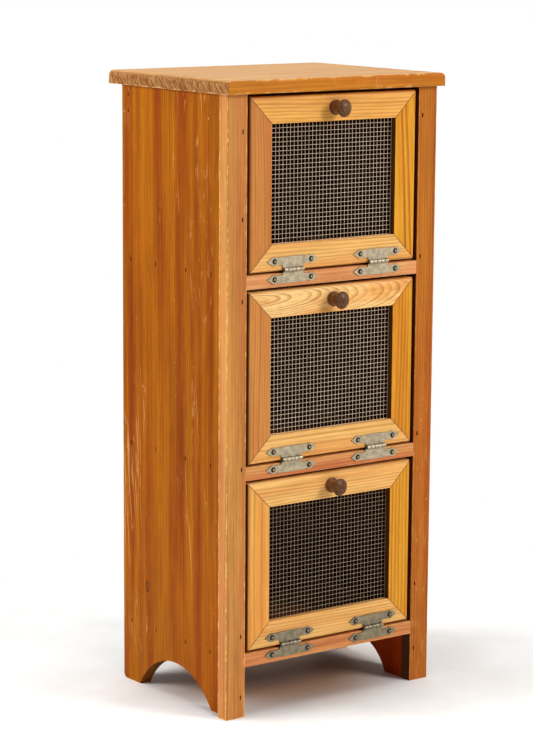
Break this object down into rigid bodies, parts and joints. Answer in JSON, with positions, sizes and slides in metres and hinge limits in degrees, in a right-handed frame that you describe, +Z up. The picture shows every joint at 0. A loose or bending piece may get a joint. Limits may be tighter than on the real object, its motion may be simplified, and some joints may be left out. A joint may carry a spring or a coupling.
{
  "type": "vegetable bin",
  "caption": "Narrow free-standing wooden vegetable bin with stacked drop-front doors, each a mitred frame round wire mesh, with pewter surface hinges, turned knobs and arched feet.",
  "frame": {"origin": "on the floor, under the middle of the overall box, which runs from the knob faces to the rear edge of the top board", "axes": "+Z is up, the doors face -Y and the catches are on the +X side"},
  "size_m": [0.379, 0.3096, 0.894],
  "materials": {
    "side_pine": "satin",
    "frame_pine": "satin",
    "rail_pine": "satin",
    "door_pine": "satin",
    "top_pine": "satin",
    "inner_pine": "matte",
    "back_plywood": "matte",
    "galvanised_mesh": "satin",
    "turned_walnut": "satin",
    "pewter_hinge": "hammered",
    "catch_plastic": "matte",
    "pewter_screw": "satin",
    "plain_steel": "dull"
  },
  "bodies": {
    "carcass": {"lower_rail": "rail_pine", "middle_rail": "rail_pine", "upper_rail": "rail_pine", "lower_magnetic_catch": "catch_plastic", "middle_magnetic_catch": "catch_plastic", "upper_magnetic_catch": "catch_plastic", "lower_hinge_frame_leaves": "pewter_hinge", "middle_hinge_frame_leaves": "pewter_hinge", "upper_hinge_frame_leaves": "pewter_hinge", "left_side_panel": "side_pine", "right_side_panel": "side_pine", "left_corner_board": "inner_pine", "right_corner_board": "inner_pine", "left_stile": "frame_pine", "right_stile": "frame_pine", "lower_shelf": "inner_pine", "middle_shelf": "inner_pine", "upper_shelf": "inner_pine", "back_panel": "back_plywood", "rear_top_cleat": "inner_pine", "front_top_cleat": "inner_pine", "top_board": "top_pine", "finishing_nails": "plain_steel", "back_panel_nails": "plain_steel", "top_board_screws": "plain_steel", "hinge_pins": "pewter_hinge", "frame_screws": "pewter_screw"},
    "lower_door": {"lower_door_bottom_rail": "door_pine", "lower_door_right_stile": "door_pine", "lower_door_top_rail": "door_pine", "lower_door_left_stile": "door_pine", "lower_door_mesh": "galvanised_mesh", "lower_door_knob": "turned_walnut", "lower_door_knob_screw": "plain_steel", "lower_door_strike_plate": "plain_steel", "lower_door_mesh_staples": "plain_steel", "lower_door_hinge_leaves": "pewter_hinge", "lower_door_screws": "pewter_screw"},
    "middle_door": {"middle_door_bottom_rail": "door_pine", "middle_door_right_stile": "door_pine", "middle_door_top_rail": "door_pine", "middle_door_left_stile": "door_pine", "middle_door_mesh": "galvanised_mesh", "middle_door_knob": "turned_walnut", "middle_door_knob_screw": "plain_steel", "middle_door_strike_plate": "plain_steel", "middle_door_mesh_staples": "plain_steel", "middle_door_hinge_leaves": "pewter_hinge", "middle_door_screws": "pewter_screw"},
    "upper_door": {"upper_door_bottom_rail": "door_pine", "upper_door_right_stile": "door_pine", "upper_door_top_rail": "door_pine", "upper_door_left_stile": "door_pine", "upper_door_mesh": "galvanised_mesh", "upper_door_knob": "turned_walnut", "upper_door_knob_screw": "plain_steel", "upper_door_strike_plate": "plain_steel", "upper_door_mesh_staples": "plain_steel", "upper_door_hinge_leaves": "pewter_hinge", "upper_door_screws": "pewter_screw"}
  },
  "joints": [
    {"name": "lower_door_hinge", "type": "hinge", "parent": "carcass", "child": "lower_door", "pos_m": [0, -0.13235, 0.096], "axis": [1, 0, 0], "range_deg": [0, 105]},
    {"name": "middle_door_hinge", "type": "hinge", "parent": "carcass", "child": "middle_door", "pos_m": [0, -0.13235, 0.3635], "axis": [1, 0, 0], "range_deg": [0, 140]},
    {"name": "upper_door_hinge", "type": "hinge", "parent": "carcass", "child": "upper_door", "pos_m": [0, -0.13235, 0.631], "axis": [1, 0, 0], "range_deg": [0, 140]}
  ]
}
